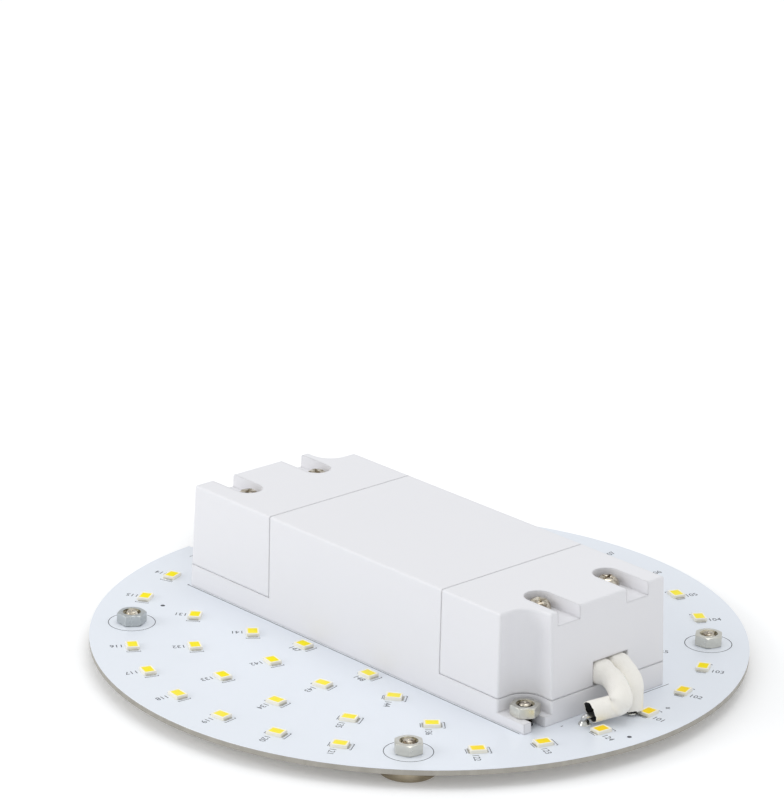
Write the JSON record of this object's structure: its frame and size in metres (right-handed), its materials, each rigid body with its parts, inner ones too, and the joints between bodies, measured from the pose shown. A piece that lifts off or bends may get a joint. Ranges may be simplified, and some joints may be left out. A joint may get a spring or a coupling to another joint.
{
  "type": "magnetic led ceiling module",
  "caption": "Round white light-emitting-diode board with a white plastic driver across it, ring magnets underneath and a black supply lead with bared cores.",
  "frame": {"origin": "centre of the board, on the plane of the four magnets' contact faces", "axes": "+Z from the magnets towards the diodes; +X along the driver towards its output end, where the two sleeved wires leave; +Y completes a right-handed frame"},
  "size_m": [0.1549, 0.14, 0.0278],
  "materials": {
    "board_metal": "satin cut edge and underside",
    "white_solder_resist": "white solder resist, soft gloss",
    "magnet_nickel": "bright nickel plate",
    "nickel_steel": "bright nickel-plated steel",
    "diode_plastic": "white moulded cup",
    "phosphor": "yellow phosphor in clear silicone",
    "tinned_copper": "tinned, satin",
    "housing_plastic": "white moulded plastic, fine satin",
    "glass_fibre_board": "green resist",
    "dark_component": "black moulded",
    "yellow_component": "yellow tape and boxes",
    "capacitor_sleeve": "dark shrink sleeve",
    "ferrite": "dark grey ferrite",
    "sleeving": "woven glass-fibre sleeving, matt",
    "solder": "tin solder, bright",
    "lead_jacket": "black jacket, satin",
    "live_insulation": "brown insulation",
    "neutral_insulation": "blue insulation",
    "print_ink": "dark printed ink"
  },
  "bodies": {
    "root": {"aluminium_base": "board_metal", "cap_screw_1": "nickel_steel", "cap_screw_2": "nickel_steel", "cap_screw_3": "nickel_steel", "cap_screw_4": "nickel_steel", "circuit_layer": "white_solder_resist", "coil_former": "dark_component", "coil_winding": "yellow_component", "controller_chip": "dark_component", "core_links": "tinned_copper", "diode_cups_inner": "diode_plastic", "diode_cups_outer": "diode_plastic", "diode_cups_second": "diode_plastic", "diode_cups_third": "diode_plastic", "diode_feet_inner": "tinned_copper", "diode_feet_outer": "tinned_copper", "diode_feet_second": "tinned_copper", "diode_feet_third": "tinned_copper", "diode_windows_inner": "phosphor", "diode_windows_outer": "phosphor", "diode_windows_second": "phosphor", "diode_windows_third": "phosphor", "driver_board": "glass_fibre_board", "driver_nut_1": "nickel_steel", "driver_nut_2": "nickel_steel", "driver_screw_1": "nickel_steel", "driver_screw_2": "nickel_steel", "filter_choke": "ferrite", "fuse": "dark_component", "input_cap": "housing_plastic", "input_capacitor": "capacitor_sleeve", "live_core": "live_insulation", "magnet_1": "magnet_nickel", "magnet_2": "magnet_nickel", "magnet_3": "magnet_nickel", "magnet_4": "magnet_nickel", "magnet_nut_1": "nickel_steel", "magnet_nut_2": "nickel_steel", "magnet_nut_3": "nickel_steel", "magnet_nut_4": "nickel_steel", "magnet_screw_1": "nickel_steel", "magnet_screw_2": "nickel_steel", "magnet_screw_3": "nickel_steel", "magnet_screw_4": "nickel_steel", "main_housing": "housing_plastic", "neutral_core": "neutral_insulation", "output_cap": "housing_plastic", "output_capacitor": "capacitor_sleeve", "output_diode": "dark_component", "output_wire_far": "tinned_copper", "output_wire_near": "tinned_copper", "rectifier": "dark_component", "safety_capacitor": "yellow_component", "sleeve_far": "sleeving", "sleeve_near": "sleeving", "solder_joints": "solder", "supply_lead": "lead_jacket", "tinned_ends": "tinned_copper", "transformer_core": "ferrite"}
  },
  "joints": []
}
